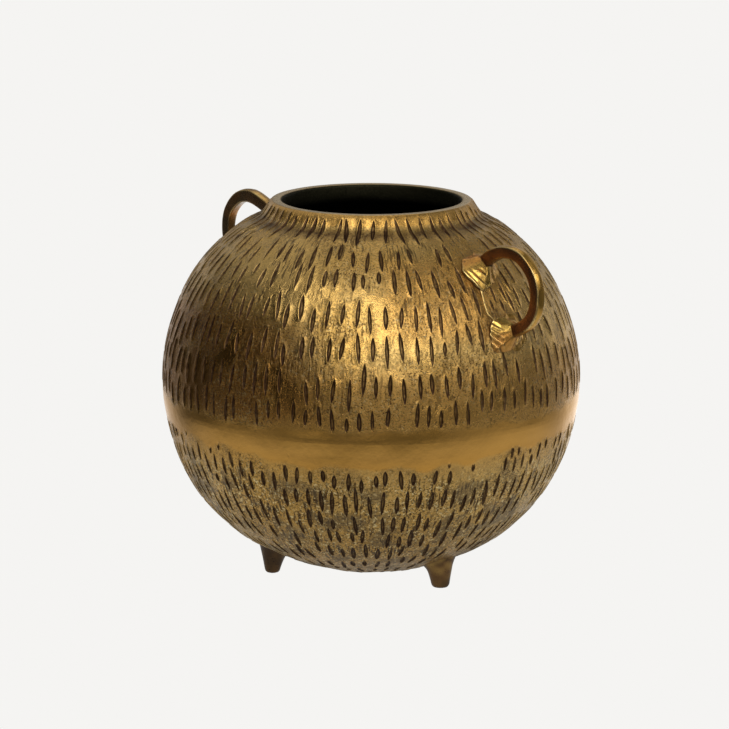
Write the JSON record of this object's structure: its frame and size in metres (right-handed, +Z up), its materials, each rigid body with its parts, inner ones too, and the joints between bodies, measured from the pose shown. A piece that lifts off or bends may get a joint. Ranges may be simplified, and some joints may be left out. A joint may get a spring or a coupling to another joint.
{
  "type": "urli bowl",
  "caption": "Round footed urli vessel in chisel-cut antique brass, with a short open collar, a polished girth seam and upright loop handles in flared lugs.",
  "frame": {"origin": "on the floor, under the middle of the overall box; the body's own axis is the Z axis", "axes": "+Z up through the mouth, +X towards the right handle and the foot under it, +Y towards the back"},
  "size_m": [0.2872, 0.255, 0.23],
  "materials": {
    "shell_brass": "cast, chisel-cut and partly polished antique brass",
    "seam_brass": "ground and polished braze",
    "handle_brass": "dark antique brass, rubbed on the arrises",
    "lug_brass": "ground and polished brass with tool flutes",
    "foot_brass": "dressed antique brass",
    "fastener_brass": "turned brass"
  },
  "bodies": {
    "root": {"upper_shell": "shell_brass", "lower_shell": "shell_brass", "belly_seam_braze": "seam_brass", "right_handle_ring": "handle_brass", "right_upper_lug": "lug_brass", "right_upper_lug_screw": "fastener_brass", "right_upper_lug_washer": "fastener_brass", "right_lower_lug": "lug_brass", "right_lower_lug_screw": "fastener_brass", "right_lower_lug_washer": "fastener_brass", "left_handle_ring": "handle_brass", "left_upper_lug": "lug_brass", "left_upper_lug_screw": "fastener_brass", "left_upper_lug_washer": "fastener_brass", "left_lower_lug": "lug_brass", "left_lower_lug_screw": "fastener_brass", "left_lower_lug_washer": "fastener_brass", "right_foot": "foot_brass", "right_foot_screw": "fastener_brass", "right_foot_washer": "fastener_brass", "rear_left_foot": "foot_brass", "rear_left_foot_screw": "fastener_brass", "rear_left_foot_washer": "fastener_brass", "front_left_foot": "foot_brass", "front_left_foot_screw": "fastener_brass", "front_left_foot_washer": "fastener_brass"}
  },
  "joints": []
}
